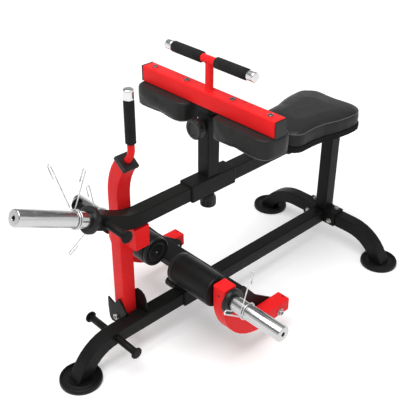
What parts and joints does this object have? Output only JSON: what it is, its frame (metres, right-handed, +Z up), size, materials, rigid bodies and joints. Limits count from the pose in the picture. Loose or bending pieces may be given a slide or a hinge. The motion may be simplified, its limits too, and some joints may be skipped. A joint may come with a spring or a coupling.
{
  "type": "seated calf raise machine",
  "caption": "Plate-loaded seated calf raise: seat, lever with thigh pads on a sliding telescopic post, swing-out catch, chrome weight horns, and a footrest unit with rollers on two swing arms.",
  "frame": {"origin": "middle of the footprint on the floor", "axes": "+X across the machine towards its right swing arm, +Y from the front foot to the seat, +Z up"},
  "size_m": [0.998, 1.4327, 0.9415],
  "materials": {
    "painted_black": "black powder coat with a fine satin texture",
    "painted_red": "bright red powder coat, semi gloss",
    "chrome": "polished chrome plate",
    "bolt_steel": "zinc-plated bolts",
    "vinyl": "black artificial leather with a fine grain",
    "board": "black covered plywood",
    "foam": "matt black foam grip",
    "plastic": "moulded black plastic",
    "rubber": "matt black rubber"
  },
  "bodies": {
    "frame": {"base_tube": "painted_black", "front_foot": "rubber", "rear_left_foot": "rubber", "rear_right_foot": "rubber", "rear_leg": "painted_black", "rear_angle_plate": "painted_black", "seat_post": "painted_black", "seat_bracket": "painted_black", "seat_board": "board", "seat_cushion": "vinyl", "lever_pivot_bolt": "bolt_steel", "base_band_peg": "painted_black", "catch_plate_front": "painted_black", "catch_plate_rear": "painted_black", "catch_pivot_bolt": "bolt_steel"},
    "lever": {"lever_arm": "painted_black", "front_collar": "plastic", "front_horn": "chrome", "lever_band_peg": "painted_black"},
    "front_clip": {"front_clip": "chrome"},
    "catch": {"catch_post": "painted_red", "catch_cradle": "painted_red", "catch_cap": "plastic", "catch_handle_tube": "painted_red", "catch_grip": "foam", "catch_end_cap": "chrome"},
    "pad_carriage": {"pad_carriage": "painted_black"},
    "carriage_knob": {"carriage_knob": "plastic"},
    "height_knob": {"height_knob": "plastic"},
    "pad_post": {"pad_inner_post": "painted_black", "thigh_bar": "painted_red", "left_bar_plug": "plastic", "right_bar_plug": "plastic", "left_thigh_pad": "vinyl", "right_thigh_pad": "vinyl", "t_handle": "painted_red", "left_handle_grip": "foam", "right_handle_grip": "foam", "left_handle_cap": "chrome", "right_handle_cap": "chrome"},
    "foot_carriage": {"foot_carriage": "painted_black", "footrest_beam": "painted_black", "left_side_plate": "painted_black", "right_side_plate": "painted_black", "left_swing_bolt": "bolt_steel", "right_swing_bolt": "bolt_steel"},
    "foot_pull_pin": {"foot_pull_pin": "plastic"},
    "left_arm": {"left_swing_arm": "painted_red", "left_collar": "plastic", "left_horn": "chrome"},
    "left_roller": {"left_roller": "rubber", "left_roller_cap": "plastic"},
    "left_clip": {"left_clip": "chrome"},
    "right_arm": {"right_swing_arm": "painted_red", "right_collar": "plastic", "right_horn": "chrome"},
    "right_roller": {"right_roller": "rubber", "right_roller_cap": "plastic"},
    "right_clip": {"right_clip": "chrome"}
  },
  "joints": [
    {"name": "lever_pivot", "type": "hinge", "parent": "frame", "child": "lever", "pos_m": [0, 0.36302, 0.507], "axis": [-1, 0, 0], "range_deg": [0, 6]},
    {"name": "front_clip_slide", "type": "slide", "parent": "lever", "child": "front_clip", "axis": [0, -0.9026, 0.4305], "range_m": [0, 0.16]},
    {"name": "pad_carriage_slide", "type": "slide", "parent": "lever", "child": "pad_carriage", "axis": [0, 1, 0], "range_m": [-0.08, 0.08]},
    {"name": "carriage_knob_pull", "type": "slide", "parent": "pad_carriage", "child": "carriage_knob", "axis": [0, 0, -1], "range_m": [0, 0.012], "stiffness_N_per_m": 500, "springref_m": -0.008},
    {"name": "height_knob_pull", "type": "slide", "parent": "pad_carriage", "child": "height_knob", "axis": [0, -1, 0], "range_m": [0, 0.012], "stiffness_N_per_m": 500, "springref_m": -0.008},
    {"name": "pad_height", "type": "slide", "parent": "pad_carriage", "child": "pad_post", "axis": [0, 0, 1], "range_m": [0, 0.1]},
    {"name": "catch_swing", "type": "hinge", "parent": "frame", "child": "catch", "pos_m": [-0.066, -0.32148, 0.103], "axis": [0, -1, 0], "range_deg": [0, 25]},
    {"name": "foot_carriage_slide", "type": "slide", "parent": "frame", "child": "foot_carriage", "axis": [0, 1, 0], "range_m": [-0.035, 0.08]},
    {"name": "foot_pin_pull", "type": "slide", "parent": "foot_carriage", "child": "foot_pull_pin", "axis": [-1, 0, 0], "range_m": [0, 0.012], "stiffness_N_per_m": 500, "springref_m": -0.008},
    {"name": "left_arm_swing", "type": "hinge", "parent": "foot_carriage", "child": "left_arm", "pos_m": [-0.2366, 0.06002, 0.097], "axis": [-1, 0, 0], "range_deg": [0, 30]},
    {"name": "left_roller_spin", "type": "hinge", "parent": "left_arm", "child": "left_roller", "pos_m": [-0.15, -0.18448, 0.286], "axis": [1, 0, 0], "continuous": true},
    {"name": "left_clip_slide", "type": "slide", "parent": "left_arm", "child": "left_clip", "axis": [-1, 0, 0], "range_m": [0, 0.1]},
    {"name": "right_arm_swing", "type": "hinge", "parent": "foot_carriage", "child": "right_arm", "pos_m": [0.2366, 0.06002, 0.097], "axis": [-1, 0, 0], "range_deg": [0, 30]},
    {"name": "right_roller_spin", "type": "hinge", "parent": "right_arm", "child": "right_roller", "pos_m": [0.15, -0.18448, 0.286], "axis": [1, 0, 0], "continuous": true},
    {"name": "right_clip_slide", "type": "slide", "parent": "right_arm", "child": "right_clip", "axis": [1, 0, 0], "range_m": [0, 0.1]}
  ]
}
